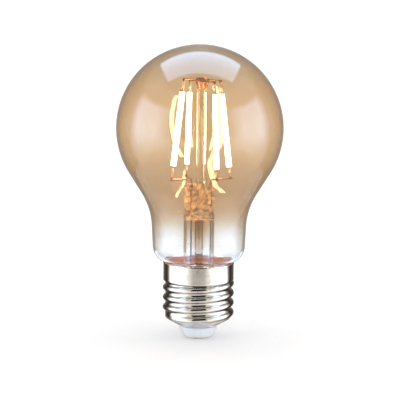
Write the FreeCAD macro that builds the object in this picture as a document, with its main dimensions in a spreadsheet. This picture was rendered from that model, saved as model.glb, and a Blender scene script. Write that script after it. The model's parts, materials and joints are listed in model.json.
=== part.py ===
import FreeCAD, Part
import math
import os
import re
import Sketcher

# Smart filament lamp with an E27 screw cap.  Millimetres, +Z up along the lamp's axis.
# The origin is the centre of the flat face of the centre contact, the lowest point of the lamp.

doc = FreeCAD.newDocument("smart_filament_lamp")
sheet = doc.addObject("Spreadsheet::Sheet", "sizes")

SIZES = {
    # glass bulb
    "bulb_radius": 30.5,          # largest radius of the bulb
    "bulb_centre_z": 77.2,        # height of the round head's centre
    "flank_angle": 32.0,          # where the round head runs into the straight flank, below the equator
    "flank_length": 9.0,          # straight part of the flank
    "neck_sweep": 25.0,           # radius of the hollow curve between flank and neck
    "neck_taper": 3.0,            # taper of the neck, degrees
    "shoulder_z": 33.7,           # where the neck starts to turn in to the cap
    "shoulder_radius": 6.3,       # radius of that turn
    "glass_wall": 0.8,
    "cement_wall": 0.7,           # cement between the skirt and the glass inside the cap
    "seal_z": 23.5,               # lower edge of the glass
    # stem
    "flare_radius": 5.6,          # outside radius of the stem's tube
    "flare_wall": 0.9,
    "flare_foot_z": 24.0,         # lower edge of the flare
    "flare_seal": 0.4,            # height of the fused band between flare and bulb
    "flare_rise": 5.0,            # height of the trumpet
    "press_z": 46.0,              # where the tube closes into the press
    "press_blend": 3.4,           # height over which round turns to flat
    "press_top_z": 57.2,
    "press_spread": 0.2,          # how far each end of the press stands out past the tube
    "press_depth": 3.8,
    "press_round": 1.2,
    "exhaust_radius": 1.5,
    "exhaust_bore": 1.0,
    "exhaust_tip_z": 20.9,
    "port_z": 49.9,               # height of the pumping hole in the press
    "port_radius": 0.85,
    "rod_radius": 1.8,
    "rod_top_z": 91.6,
    "bead_radius": 2.6,
    "bead_height": 4.1,
    # wires of the light unit
    "mount_x": 0.7,               # how far the light unit stands to the right of the bulb's axis
    "lead_gap": 0.1,              # between the right lead and the wall of the stem's tube
    "lead_radius": 0.3,           # radius of the leads and of the two supply wires
    "dumet_inset": 0.8,           # how far each end of the sealing wire lies inside the press
    "lower_wire_z": 58.4,         # height of the lower wires at the leads
    "upper_wire_z": 94.3,
    "support_radius": 0.25,
    "lower_overhang": 1.1,        # how far a lower wire runs past its filament
    "upper_overhang": 0.7,        # how far an upper wire runs past its filament
    # filaments
    "lower_ring": 11.8,           # distance of the filaments' lower ends from the axis
    "upper_ring": 8.0,            # distance of their upper ends
    "outer_turn": 25.0,           # bearing of the lower ends of the first and third filament
    "inner_turn": 28.0,           # the same of the second and fourth, a quarter turn on
    "upper_turn": 33.7,           # bearing of the upper ends
    "low_lift_1": -0.2,           # height of each lower end above the wire at the lead
    "low_lift_2": -0.25,
    "low_lift_3": 0.5,
    "low_lift_4": 1.4,
    "high_lift_1": 0.05,          # height of each upper end above upper_wire_z
    "high_lift_2": -0.2,
    "high_lift_3": 1.15,
    "high_lift_4": 0.2,
    "coat_shift_1": -0.35,        # how far each coating sits above the middle of its span
    "coat_shift_2": 0.2,
    "coat_shift_3": 0.2,
    "coat_shift_4": -0.35,
    "coat_length": 28.4,          # length of the phosphor coating
    "coat_width": 2.0,
    "coat_depth": 1.7,
    "strip_width": 0.9,
    "strip_depth": 0.4,
    "strip_overlap": 1.6,         # bare strip past each end of the coating
    "pin_width": 1.1,
    "pin_depth": 0.2,
    "chip_side": 0.7,
    "chip_height": 0.2,
    "weld_radius": 0.5,
    "weld_gap": 0.1,              # weld metal between a pin's end and its wire
    # screw cap, 27 mm Edison thread
    "thread_radius": 13.1,
    "thread_depth": 0.95,         # depth from crest to root
    "thread_pitch": 3.629,
    "crest_radius": 1.025,
    "thread_turns": 3.45,
    "thread_start_z": 8.34,
    "thread_start_angle": -100.0,
    "shell_wall": 0.35,
    "skirt_step": 0.15,           # how far the skirt lies inside the crests
    "skirt_z": 21.2,
    "rim_z": 27.8,
    "cone_top_z": 7.3,
    "cone_foot_z": 4.3,
    "cone_foot_radius": 6.75,
    # insulator and centre contact
    "insulator_radius": 7.05,
    "insulator_foot_radius": 6.0,
    "insulator_round": 1.2,
    "insulator_foot_z": 0.4,
    "insulator_top_z": 7.5,
    "cone_clearance": 0.08,
    "contact_radius": 4.6,
    "contact_flat": 3.2,
    "contact_plate": 0.9,
    "rivet_radius": 1.3,
    "rivet_top_z": 3.6,
    # inside the cap
    "sleeve_clearance": 0.28,
    "sleeve_wall": 0.5,
    "sleeve_top_z": 21.3,
    "cement_foot_z": 22.9,
    "cement_top_z": 27.55,
    "cement_reach": 6.2,          # inner radius of the cement under the glass
    "cement_gap": 0.05,           # between the cement and the glass edge above it
    "board_gap": 0.72,            # between the board's edge and the sleeve
    "board_height": 12.0,
    "board_thick": 1.0,
    "pad_thick": 0.08,            # solder between a wire and the board
    "radio_width": 13.0,
    "radio_height": 10.8,
    "radio_thick": 0.8,
    "radio_gap": 4.6,             # space between the two boards
    "can_width": 9.0,
    "can_height": 6.6,
    "can_depth": 1.8,
    "can_wall": 0.2,
    "capacitor_radius": 3.15,
    "capacitor_length": 9.6,
    "choke_radius": 3.0,
    "choke_length": 5.0,
    "part_lift": 0.6,             # height of the lowest parts above the sleeve's floor
}

for row, (alias, number) in enumerate(SIZES.items(), start=1):
    sheet.set("A%d" % row, alias)
    sheet.set("B%d" % row, str(number))
    sheet.setAlias("B%d" % row, alias)
doc.recompute()

WORDS = re.compile(r"[a-z][a-z0-9]*(?:_[a-z0-9]+)+")


def bound(text):
    """Expression text with every size's name turned into a reference to its cell."""
    return WORDS.sub(lambda word: "sizes." + word.group(0), str(text))


def number(text):
    """Value of an expression, read from the sheet."""
    result = reader.evalExpression(bound(text))
    return float(getattr(result, "Value", result))


reader = doc.addObject("App::FeaturePython", "reader")

# Sizes and places that several pieces share, each written once.
ROOT = "(thread_radius - thread_depth)"
SKIRT = "(thread_radius - skirt_step)"
SEAL = "(thread_radius - skirt_step - shell_wall - cement_wall)"
PRESS_WIDTH = "(2 * flare_radius + 2 * press_spread)"
BOARD_FRONT = "(lead_radius + pad_thick)"
BOARD_BACK = "(lead_radius + pad_thick + board_thick)"
BOARD_FOOT = "(insulator_top_z + sleeve_wall)"
BOARD_TOP = "(insulator_top_z + sleeve_wall + board_height)"
SLEEVE_OUTER = "(%s - shell_wall - sleeve_clearance)" % ROOT
SLEEVE_INNER = "(%s - sleeve_wall)" % SLEEVE_OUTER
BOARD_HALF = "(%s - board_gap)" % SLEEVE_INNER
RADIO_BACK = "(lead_radius + pad_thick - radio_gap)"
RADIO_FRONT = "(lead_radius + pad_thick - radio_gap - radio_thick)"
PARTS_FOOT = "(insulator_top_z + sleeve_wall + part_lift)"
GLASS_INNER = "(%s - glass_wall)" % SEAL
LEAD_REACH = "(flare_radius - flare_wall - lead_gap - lead_radius - mount_x)"
LEAD_LEFT = "(mount_x - %s)" % LEAD_REACH
LEAD_RIGHT = "(mount_x + %s)" % LEAD_REACH
FEED_Z = "(sleeve_top_z + 0.7)"


# ---------------------------------------------------------------- building helpers

def new_body(label):
    body = doc.addObject("PartDesign::Body", label)
    body.Label = label
    return body


def origin_plane(body, role):
    return [item for item in body.Origin.OriginFeatures if item.Role == role][0]


def new_sketch(body, name, role="XZ_Plane", lift=None):
    """A sketch on one of the body's own planes, raised by an expression."""
    sketch = body.newObject("Sketcher::SketchObject", name)
    sketch.AttachmentSupport = [(origin_plane(body, role), "")]
    sketch.MapMode = "FlatFace"
    if lift is not None:
        sketch.setExpression("AttachmentOffset.Base.z", bound(lift))
    return sketch


def fix_point(sketch, geometry, end, across, up):
    """Ties one end of an edge to expressions for its two coordinates."""
    for kind, text in (("DistanceX", across), ("DistanceY", up)):
        index = sketch.addConstraint(
            Sketcher.Constraint(kind, -1, 1, geometry, end, number(text)))
        sketch.setExpression("Constraints[%d]" % index, bound(text))


def draw_loop(sketch, points):
    """A closed outline.  Each point is (across, up) or (across, up, radius, side): a radius makes
    the edge that leaves the point an arc, bulging to the left (+1) or right (-1) of its chord."""
    places = [FreeCAD.Vector(number(point[0]), number(point[1]), 0) for point in points]
    first = sketch.GeometryCount
    for index, point in enumerate(points):
        start = places[index]
        finish = places[(index + 1) % len(points)]
        if len(point) == 2:
            sketch.addGeometry(Part.LineSegment(start, finish), False)
            continue
        radius = number(point[2])
        chord = finish - start
        left = FreeCAD.Vector(-chord.y, chord.x, 0).normalize()
        sag = radius - math.sqrt(radius * radius - chord.Length ** 2 / 4)
        middle = (start + finish) / 2 + left * sag * point[3]
        sketch.addGeometry(Part.Arc(start, middle, finish), False)
    for index, point in enumerate(points):
        edge = first + index
        following = first + (index + 1) % len(points)
        edge_end = 2
        next_start = 1
        if is_reversed(sketch, edge, places[index]):
            edge_end = 1
        if is_reversed(sketch, following, places[(index + 1) % len(points)]):
            next_start = 2
        sketch.addConstraint(
            Sketcher.Constraint("Coincident", edge, edge_end, following, next_start))
        fix_point(sketch, edge, 3 - edge_end, point[0], point[1])
        if len(point) > 2:
            number_of = sketch.addConstraint(
                Sketcher.Constraint("Radius", edge, number(point[2])))
            sketch.setExpression("Constraints[%d]" % number_of, bound(point[2]))


def is_reversed(sketch, edge, start):
    """True where the sketch stores an arc the other way round."""
    return (sketch.getPoint(edge, 1) - start).Length > 1e-6


def draw_circle(sketch, across, up, radius):
    centre = FreeCAD.Vector(number(across), number(up), 0)
    edge = sketch.addGeometry(
        Part.Circle(centre, FreeCAD.Vector(0, 0, 1), number(radius)), False)
    fix_point(sketch, edge, 3, across, up)
    index = sketch.addConstraint(Sketcher.Constraint("Radius", edge, number(radius)))
    sketch.setExpression("Constraints[%d]" % index, bound(radius))


def turned(label, points):
    """A body turned about the lamp's axis from one closed outline (radius, height)."""
    body = new_body(label)
    sketch = new_sketch(body, label + "_outline")
    draw_loop(sketch, points)
    turn = body.newObject("PartDesign::Revolution", label + "_turn")
    turn.Profile = sketch
    turn.ReferenceAxis = (sketch, ["V_Axis"])
    turn.Angle = 360
    return body


def slot_outline(width, depth):
    """Outline of a flat bar with round ends, centred on the axis."""
    half = "(%s - %s) / 2" % (width, depth)
    side = "%s / 2" % depth
    nose = "0.53 * %s" % depth
    return [("-(%s)" % half, "-(%s)" % side),
            (half, "-(%s)" % side, nose, -1),
            (half, side),
            ("-(%s)" % half, side, nose, -1)]


def move(item, across, along, up):
    """Binds an object's position to three expressions."""
    for name, text in (("x", across), ("y", along), ("z", up)):
        item.setExpression("Placement.Base." + name, bound(text))


def aim(item, start, finish):
    """Stands an object's own Z axis along the line from start to finish."""
    move(item, *start)
    across = "((%s) - (%s))" % (finish[0], start[0])
    along = "((%s) - (%s))" % (finish[1], start[1])
    up = "((%s) - (%s))" % (finish[2], start[2])
    flat = "sqrt(%s ^ 2 + %s ^ 2)" % (across, along)
    item.setExpression("Placement.Rotation.Axis.x", bound("-" + along))
    item.setExpression("Placement.Rotation.Axis.y", bound(across))
    item.setExpression("Placement.Rotation.Axis.z", "0")
    item.setExpression("Placement.Rotation.Angle", bound("atan2(%s; %s)" % (flat, up)))


def box(label, size, low):
    """A box with its low corner at three expressions."""
    item = doc.addObject("Part::Box", label)
    item.Label = label
    for name, text in zip(("Length", "Width", "Height"), size):
        item.setExpression(name, bound(text))
    move(item, *low)
    return item


def rod(label, radius, start, finish):
    """A straight round bar between two points."""
    item = doc.addObject("Part::Cylinder", label)
    item.Label = label
    item.setExpression("Radius", bound(radius))
    steps = ["((%s) - (%s)) ^ 2" % (b, a) for a, b in zip(start, finish)]
    item.setExpression("Height", bound("sqrt(%s)" % " + ".join(steps)))
    aim(item, start, finish)
    return item


def cut(label, base, tools):
    """The base with other solids taken away."""
    for index, tool in enumerate(tools):
        item = doc.addObject("Part::Cut", label + "_cut_%d" % index)
        item.Base = base
        item.Tool = tool
        base = item
    base.Label = label
    return base


def together(label, items):
    """Several alike solids in one node."""
    item = doc.addObject("Part::Compound", label)
    item.Label = label
    item.Links = items
    return item


def bent_wire(label, radius, bend, runs):
    """Round wire along straight runs joined by arcs, one solid for each list of points."""
    wires = []
    thickness = number(radius)
    for run in runs:
        points = [FreeCAD.Vector(*[number(text) for text in point]) for point in run]
        edges = []
        start = points[0]
        for before, corner, after in zip(points, points[1:], points[2:]):
            back = (before - corner).normalize()
            ahead = (after - corner).normalize()
            turn = math.pi - back.getAngle(ahead)
            reach = number(bend) * math.tan(turn / 2)
            enter = corner + back * reach
            leave = corner + ahead * reach
            inward = (back + ahead).normalize()
            depth = number(bend) * (1 / math.cos(turn / 2) - 1)
            edges.append(Part.LineSegment(start, enter).toShape())
            edges.append(Part.Arc(enter, corner + inward * depth, leave).toShape())
            start = leave
        edges.append(Part.LineSegment(start, points[-1]).toShape())
        path = Part.Wire(edges)
        direction = (points[1] - points[0]).normalize()
        ring = Part.Wire([Part.Circle(points[0], direction, thickness).toShape()])
        wires.append(path.makePipeShell([ring], True, False))
    item = doc.addObject("Part::Feature", label)
    item.Label = label
    item.Shape = wires[0] if len(wires) == 1 else Part.makeCompound(wires)
    return item


# ---------------------------------------------------------------- glass and stem

def bulb_outline(wall):
    """Points of the bulb's outline from the top of the head down to the cap, at a depth inside the
    outer surface: head, straight flank, hollow neck sweep, tapered neck, shoulder."""
    head = "(bulb_radius - %s)" % wall
    sweep = "(neck_sweep + %s)" % wall
    turn = "(shoulder_radius - %s)" % wall
    flank = "(flank_angle * 1deg)"
    taper = "(neck_taper * 1deg)"
    seal = "(%s - %s)" % (SEAL, wall)
    head_end = ("%s * cos(%s)" % (head, flank), "bulb_centre_z - %s * sin(%s)" % (head, flank))
    flank_end = ("%s - flank_length * sin(%s)" % (head_end[0], flank),
                 "%s - flank_length * cos(%s)" % (head_end[1], flank))
    hub = ("((bulb_radius + neck_sweep) * cos(%s) - flank_length * sin(%s))" % (flank, flank),
           "(bulb_centre_z - (bulb_radius + neck_sweep) * sin(%s) - flank_length * cos(%s))"
           % (flank, flank))
    neck_top = ("%s - %s * cos(%s)" % (hub[0], sweep, taper),
                "%s + %s * sin(%s)" % (hub[1], sweep, taper))
    outer_neck = "(%s - neck_sweep * cos(%s))" % (hub[0], taper)
    outer_high = "(%s + neck_sweep * sin(%s))" % (hub[1], taper)
    shoulder_r = "(%s - (%s - shoulder_z) * tan(%s))" % (outer_neck, outer_high, taper)
    pivot = ("(%s - shoulder_radius * cos(%s))" % (shoulder_r, taper),
             "(shoulder_z + shoulder_radius * sin(%s))" % taper)
    neck_foot = ("%s + %s * cos(%s)" % (pivot[0], turn, taper),
                 "%s - %s * sin(%s)" % (pivot[1], turn, taper))
    cap_entry = (seal, "%s - sqrt(%s ^ 2 - (%s - %s) ^ 2)" % (pivot[1], turn, seal, pivot[0]))
    return head, sweep, turn, seal, head_end, flank_end, neck_top, neck_foot, cap_entry


def glass_envelope():
    """The clear bulb: one wall, open at the lower edge where it is fused to the stem."""
    head, sweep, turn, seal, head_end, flank_end, neck_top, neck_foot, entry = bulb_outline("0")
    outside = [("0", "bulb_centre_z + bulb_radius", head, 1),
               head_end,
               flank_end + (sweep, -1),
               neck_top,
               neck_foot + (turn, 1),
               entry,
               (seal, "seal_z")]
    head, sweep, turn, seal, head_end, flank_end, neck_top, neck_foot, entry = bulb_outline("glass_wall")
    inside = [(seal, "seal_z"),
              entry + (turn, -1),
              neck_foot,
              neck_top + (sweep, 1),
              flank_end,
              head_end + (head, -1),
              ("0", "bulb_centre_z + bulb_radius - glass_wall")]
    return turned("glass_envelope", outside + inside)


def stem_flare():
    """Trumpet, tube and flattened press of the stem, with bores for the leads and for pumping."""
    reach = "(%s - flare_radius)" % GLASS_INNER
    sweep = "((%s ^ 2 + flare_rise ^ 2) / (2 * %s))" % (reach, reach)
    neck_z = "(flare_foot_z + flare_seal + flare_rise)"
    inner = "(flare_radius - flare_wall)"
    big = "(%s + flare_wall)" % sweep
    drop = "(flare_seal + flare_rise)"
    foot = "flare_radius + %s - sqrt(%s ^ 2 - %s ^ 2)" % (sweep, big, drop)
    body = turned("stem_flare", [
        (GLASS_INNER, "flare_foot_z"),
        (GLASS_INNER, "flare_foot_z + flare_seal", sweep, 1),
        ("flare_radius", neck_z),
        ("flare_radius", "press_z"),
        ("0", "press_z"),
        ("0", "press_z - flare_wall"),
        (inner, "press_z - flare_wall"),
        (inner, neck_z, big, -1),
        (foot, "flare_foot_z")])
    round_end = new_sketch(body, "press_round_end", "XY_Plane", "press_z")
    draw_circle(round_end, "0", "0", "flare_radius")
    flat_end = new_sketch(body, "press_flat_end", "XY_Plane", "press_z + press_blend")
    draw_loop(flat_end, slot_outline(PRESS_WIDTH, "press_depth"))
    blend = body.newObject("PartDesign::AdditiveLoft", "press_blend_loft")
    blend.Profile = round_end
    blend.Sections = [flat_end]
    bar = new_sketch(body, "press_bar", "XY_Plane", "press_z + press_blend")
    draw_loop(bar, slot_outline(PRESS_WIDTH, "press_depth"))
    pad = body.newObject("PartDesign::Pad", "press_pad")
    pad.Profile = bar
    pad.setExpression("Length", bound("press_top_z - press_z - press_blend"))
    doc.recompute()
    top = [("Edge%d" % (index + 1)) for index, edge in enumerate(pad.Shape.Edges)
           if abs(edge.BoundBox.ZMin - number("press_top_z")) < 1e-4
           and edge.BoundBox.ZLength < 1e-4]
    soft = body.newObject("PartDesign::Fillet", "press_top_round")
    soft.Base = (pad, top)
    soft.setExpression("Radius", bound("press_round"))
    bores = new_sketch(body, "lead_bores", "XY_Plane", "press_z - 2 * flare_wall")
    draw_circle(bores, LEAD_RIGHT, "0", "lead_radius")
    draw_circle(bores, LEAD_LEFT, "0", "lead_radius")
    drill = body.newObject("PartDesign::Pocket", "lead_bores_cut")
    drill.Profile = bores
    drill.Reversed = True
    drill.setExpression("Length", bound("press_top_z - press_z + 3 * flare_wall"))
    channel = new_sketch(body, "pumping_bore", "XY_Plane", "press_z - 2 * flare_wall")
    draw_circle(channel, "0", "0", "exhaust_bore")
    pump = body.newObject("PartDesign::Pocket", "pumping_bore_cut")
    pump.Profile = channel
    pump.Reversed = True
    pump.setExpression("Length", bound("port_z - press_z + 2 * flare_wall"))
    port = new_sketch(body, "pumping_port", "XZ_Plane")
    draw_circle(port, "mount_x", "port_z", "port_radius")
    side = body.newObject("PartDesign::Pocket", "pumping_port_cut")
    side.Profile = port
    side.SideType = "Symmetric"
    side.setExpression("Length", bound("4 * press_depth"))
    return body


def exhaust_tube():
    """Thin tube for pumping and gas filling, its lower end melted shut."""
    top = "press_z - flare_wall"
    return turned("exhaust_tube", [
        ("0", "exhaust_tip_z", "exhaust_radius", -1),
        ("exhaust_radius", "exhaust_tip_z + exhaust_radius"),
        ("exhaust_radius", top),
        ("exhaust_bore", top),
        ("exhaust_bore", "exhaust_tip_z + 2 * exhaust_radius", "exhaust_bore", 1),
        ("0", "exhaust_tip_z + 2 * exhaust_radius - exhaust_bore")])


def upper_wire(label, first, second):
    """A straight wire through the bead that joins the upper ends of two opposite filaments."""
    ends = []
    for one, other in ((first, second), (second, first)):
        across, along = bearing("upper_turn", one, "(upper_ring + upper_overhang)")
        middle = "(high_lift_%d + high_lift_%d) / 2" % (first, second)
        slope = "(high_lift_%d - high_lift_%d) / (2 * upper_ring)" % (one, other)
        level = "(upper_wire_z + %s + %s * (upper_ring + upper_overhang))" % (middle, slope)
        ends.append((across, along, level))
    return rod(label, "support_radius", ends[0], ends[1])


def bearing(turn, index, reach):
    """The two level coordinates of a place at one filament's bearing, about the light unit's axis."""
    angle = "((%s + %d) * 1deg)" % (turn, 90 * (index - 1))
    return "(mount_x + %s * cos(%s))" % (reach, angle), "(%s * sin(%s))" % (reach, angle)


def low_turn(index):
    return "outer_turn" if index % 2 == 1 else "inner_turn"


def lower_wire(label, lead, outer, inner):
    """A wire welded across the top of one lead, bent to reach two filaments."""
    reach = "(lower_ring + lower_overhang)"
    ends = [bearing(low_turn(index), index, reach) + ("(lower_wire_z + low_lift_%d)" % index,)
            for index in (outer, inner)]
    return bent_wire(label, "support_radius", "4 * support_radius",
                     [[ends[0], (lead, "0", "lower_wire_z"), ends[1]]])


def lead_set(name, across):
    """One lead of the stem: inner lead, sealing wire in the press, outer lead down to the board."""
    low = "(press_z - flare_wall + dumet_inset)"
    high = "(press_top_z - dumet_inset)"
    tail = "(%s - 1.6)" % BOARD_TOP
    rod("inner_lead_" + name, "lead_radius",
        (across, "0", high), (across, "0", "lower_wire_z - support_radius"))
    rod("sealing_wire_" + name, "lead_radius", (across, "0", low), (across, "0", high))
    rod("outer_lead_" + name, "lead_radius", (across, "0", tail), (across, "0", low))
    return ["inner_lead_" + name, "sealing_wire_" + name, "outer_lead_" + name]


def pillar():
    """Glass rod on top of the press and the bead that holds the two upper wires."""
    rod("pillar_rod", "rod_radius", ("mount_x", "0", "press_top_z"), ("mount_x", "0", "rod_top_z"))
    top = "rod_top_z + bead_height"
    bead = turned("bead_blank", [
        ("0", "rod_top_z"),
        ("rod_radius", "rod_top_z", "bead_height", 1),
        ("bead_radius", "upper_wire_z"),
        ("0.72 * bead_radius", top),
        ("0", top)])
    bead.setExpression("Placement.Base.x", bound("mount_x"))
    cut("pillar_bead", bead, [upper_wire("bead_hole_a", 1, 3), upper_wire("bead_hole_b", 2, 4)])
    upper_wire("upper_wire_a", 1, 3)
    upper_wire("upper_wire_b", 2, 4)
    return ["pillar_rod", "pillar_bead", "upper_wire_a", "upper_wire_b"]


# ---------------------------------------------------------------- filaments

def filament_ends(index):
    """Lower and upper end points of one filament, a weld's gap from its two wires."""
    start = bearing(low_turn(index), index, "lower_ring") + (
        "(lower_wire_z + %s + support_radius + weld_gap)" % low_rise(index),)
    finish = bearing("upper_turn", index, "upper_ring") + (
        "(upper_wire_z + high_lift_%d - support_radius - weld_gap)" % index,)
    return start, finish


def low_rise(index):
    """How far the lower wire has risen where a filament's end stands on it."""
    return "low_lift_%d * lower_ring / (lower_ring + lower_overhang)" % index


def span(start, finish):
    steps = ["((%s) - (%s)) ^ 2" % (b, a) for a, b in zip(start, finish)]
    return "sqrt(%s)" % " + ".join(steps)


def filament(index):
    """One filament: ceramic strip, row of chips, phosphor coating and two metal pins.  It is built
    along its own Z axis and each piece is then stood between the lower and the upper wire."""
    name = "filament_%d" % index
    start, finish = filament_ends(index)
    whole = number(span(start, finish))
    coat = number("coat_length")
    shift = number("coat_shift_%d" % index)
    bare = (whole - coat) / 2 + shift
    over = number("strip_overlap")
    width = number("coat_width")
    depth = number("coat_depth")
    strip_w = number("strip_width")
    strip_d = number("strip_depth")
    pin_w = number("pin_width")
    pin_d = number("pin_depth")
    chip = number("chip_side")
    thick = number("chip_height")

    def bar(wide, deep, low, long, offset=0.0):
        return Part.makeBox(wide, deep, long, FreeCAD.Vector(-wide / 2, offset - deep / 2, low))

    strip = bar(strip_w, strip_d, bare - over, coat + 2 * over)
    count = int(coat // (2 * chip))
    pitch = (coat - 2 * chip) / (count - 1)
    level = -(strip_d + thick) / 2
    chips = [bar(chip, thick, bare + chip / 2 + pitch * step, chip, level) for step in range(count)]
    skin = Part.makeCylinder(width / 2, coat, FreeCAD.Vector(0, 0, bare))
    squash = FreeCAD.Matrix()
    squash.scale(1.0, depth / width, 1.0)
    skin = skin.transformGeometry(squash)
    skin = skin.cut(strip).cut(Part.makeCompound(chips))
    pins = [bar(pin_w, pin_d, 0.0, bare - over),
            bar(pin_w, pin_d, bare + coat + over, bare - over - 2 * shift)]

    spot = FreeCAD.Vector(*[number(text) for text in start])
    goal = FreeCAD.Vector(*[number(text) for text in finish])
    facing = FreeCAD.Rotation(FreeCAD.Vector(0, 0, 1), goal - spot)
    outward = FreeCAD.Rotation(FreeCAD.Vector(0, 0, 1), number(low_turn(index)) + 90 * (index - 1))
    shapes = {"_strip": strip, "_coating": skin, "_chips": Part.makeCompound(chips),
              "_pins": Part.makeCompound(pins)}
    labels = []
    for ending, shape in shapes.items():
        item = doc.addObject("Part::Feature", name + ending)
        item.Label = name + ending
        item.Shape = shape
        item.Placement = FreeCAD.Placement(spot, facing.multiply(outward))
        labels.append(name + ending)
    return labels


def filament_welds():
    """The weld beads that hold the filament pins on the support wires."""
    doc.recompute()
    around = [doc.getObject(name).Shape for name in
              ("upper_wire_a", "upper_wire_b", "lower_wire_left", "lower_wire_right",
               "filament_1_pins", "filament_2_pins", "filament_3_pins", "filament_4_pins")]
    beads = []
    for index in range(1, 5):
        for point in filament_ends(index):
            centre = FreeCAD.Vector(*[number(text) for text in point])
            bead = Part.makeSphere(number("weld_radius"), centre)
            for shape in around:
                bead = bead.cut(shape)
            beads.append(max(bead.Solids, key=lambda solid: solid.Volume))
    item = doc.addObject("Part::Feature", "filament_welds")
    item.Label = "filament_welds"
    item.Shape = Part.makeCompound(beads)
    return ["filament_welds"]


# ---------------------------------------------------------------- cap

def screw_shell():
    """Thin sheet shell with a rolled Edison thread: the thread stands out of the wall outside and
    the same wave is hollow inside."""
    body = turned("screw_shell", [
        ("cone_foot_radius", "cone_foot_z"),
        (ROOT, "cone_top_z"),
        (ROOT, "skirt_z - 0.6"),
        (SKIRT, "skirt_z"),
        (SKIRT, "rim_z"),
        (SKIRT + " - shell_wall", "rim_z"),
        (SKIRT + " - shell_wall", "skirt_z + 0.4 * shell_wall"),
        (ROOT + " - shell_wall", "skirt_z - 0.6 + 0.4 * shell_wall"),
        (ROOT + " - shell_wall", "cone_top_z + 0.58 * shell_wall"),
        ("cone_foot_radius - 0.5 * shell_wall", "cone_foot_z + 0.87 * shell_wall")])
    for kind, name, inset in (("AdditiveHelix", "crest", "0"),
                              ("SubtractiveHelix", "hollow", "shell_wall")):
        sketch = new_sketch(body, "thread_" + name)
        tip = "(crest_radius - %s)" % inset
        hub = "(thread_radius - crest_radius)"
        foot = "(%s - %s - 0.12)" % (ROOT, inset)
        lean = "sqrt(0.5)"
        flank = "(%s * %s)" % (tip, lean)
        spread = "(%s + %s + %s - %s)" % (flank, flank, hub, foot)
        draw_loop(sketch, [
            (foot, "thread_start_z - %s" % spread),
            ("%s + %s" % (hub, flank), "thread_start_z - %s" % flank, tip, -1),
            ("%s + %s" % (hub, flank), "thread_start_z + %s" % flank),
            (foot, "thread_start_z + %s" % spread)])
        helix = body.newObject("PartDesign::" + kind, "thread_" + name + "_helix")
        helix.Profile = sketch
        helix.ReferenceAxis = (sketch, ["V_Axis"])
        helix.Mode = "pitch-turns-angle"
        helix.setExpression("Pitch", bound("thread_pitch"))
        helix.setExpression("Turns", bound("thread_turns"))
        doc.recompute()
    body.setExpression("Placement.Rotation.Angle", bound("thread_start_angle"))
    return body


def base_cement():
    """Ring of cement between the glass and the shell's skirt, spread inwards under the glass."""
    outer = SKIRT + " - shell_wall"
    return turned("base_cement", [
        (SEAL, "seal_z - cement_gap"),
        ("cement_reach", "seal_z - cement_gap"),
        ("cement_reach", "cement_foot_z"),
        (outer, "cement_foot_z"),
        (outer, "cement_top_z"),
        (SEAL, "cement_top_z - 0.1")])


def insulator():
    """Plastic plug that closes the shell's cone and carries the centre contact."""
    slope = "((cone_top_z - cone_foot_z) / (%s - cone_foot_radius))" % ROOT
    inner = "(cone_foot_radius - 0.5 * shell_wall)"
    level = "(cone_foot_z + 0.87 * shell_wall)"
    wide = "(%s - shell_wall - 2.3)" % ROOT
    return turned("insulator", [
        ("rivet_radius", "insulator_foot_z"),
        ("insulator_foot_radius - insulator_round", "insulator_foot_z", "insulator_round", -1),
        ("insulator_foot_radius", "insulator_foot_z + insulator_round"),
        ("insulator_radius", "cone_foot_z - 0.5"),
        ("insulator_radius", "cone_foot_z"),
        (inner + " - cone_clearance", "cone_foot_z"),
        (inner + " - cone_clearance", level + " + cone_clearance"),
        (wide, "%s + cone_clearance + (%s - %s) * %s" % (level, wide, inner, slope)),
        (wide, "insulator_top_z - 0.4"),
        (wide + " - 0.4", "insulator_top_z"),
        ("2 * lead_radius", "insulator_top_z"),
        ("2 * lead_radius", "rivet_top_z + 0.3"),
        ("rivet_radius", "rivet_top_z + 0.3")])


def centre_contact():
    """Pressed contact plate with a hollow rivet that takes the supply wire."""
    return turned("centre_contact", [
        ("0", "0"),
        ("contact_flat", "0"),
        ("contact_radius - 0.3", "insulator_foot_z - 0.3"),
        ("contact_radius", "insulator_foot_z - 0.15"),
        ("contact_radius", "insulator_foot_z"),
        ("rivet_radius", "insulator_foot_z"),
        ("rivet_radius", "rivet_top_z"),
        ("lead_radius", "rivet_top_z"),
        ("lead_radius", "contact_plate"),
        ("0", "contact_plate")])


def driver_sleeve():
    """Insulating cup between the shell and the electronics."""
    floor = "insulator_top_z"
    return turned("driver_sleeve", [
        ("2 * lead_radius", floor),
        (SLEEVE_OUTER + " - 0.3", floor),
        (SLEEVE_OUTER, floor + " + 0.3"),
        (SLEEVE_OUTER, "sleeve_top_z"),
        (SLEEVE_INNER, "sleeve_top_z"),
        (SLEEVE_INNER, BOARD_FOOT),
        ("2 * lead_radius", BOARD_FOOT)])


# ---------------------------------------------------------------- electronics in the cap

def supply_wires():
    """Centre-contact wire up to the board, and shell wire out over the sleeve to the skirt."""
    rod("contact_wire", "lead_radius", ("0", "0", "contact_plate"), ("0", "0", BOARD_FOOT + " + 2"))
    edge = "-(%s - 1.2)" % BOARD_HALF
    bent_wire("shell_wire", "lead_radius", "2 * lead_radius", [[
        (edge, "0", BOARD_TOP + " - 2.4"),
        (edge, "0", FEED_Z),
        ("-(%s - shell_wall)" % SKIRT, "0", FEED_Z)]])
    return ["contact_wire", "shell_wire"]


def boards():
    """Driver board standing across the cap and the smaller radio board in front of it."""
    box("driver_board", ("2 * " + BOARD_HALF, "board_thick", "board_height"),
        ("-" + BOARD_HALF, BOARD_FRONT, BOARD_FOOT))
    box("radio_board", ("radio_width", "radio_thick", "radio_height"),
        ("-radio_width / 2", RADIO_FRONT, PARTS_FOOT))
    return ["driver_board", "radio_board"]


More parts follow.
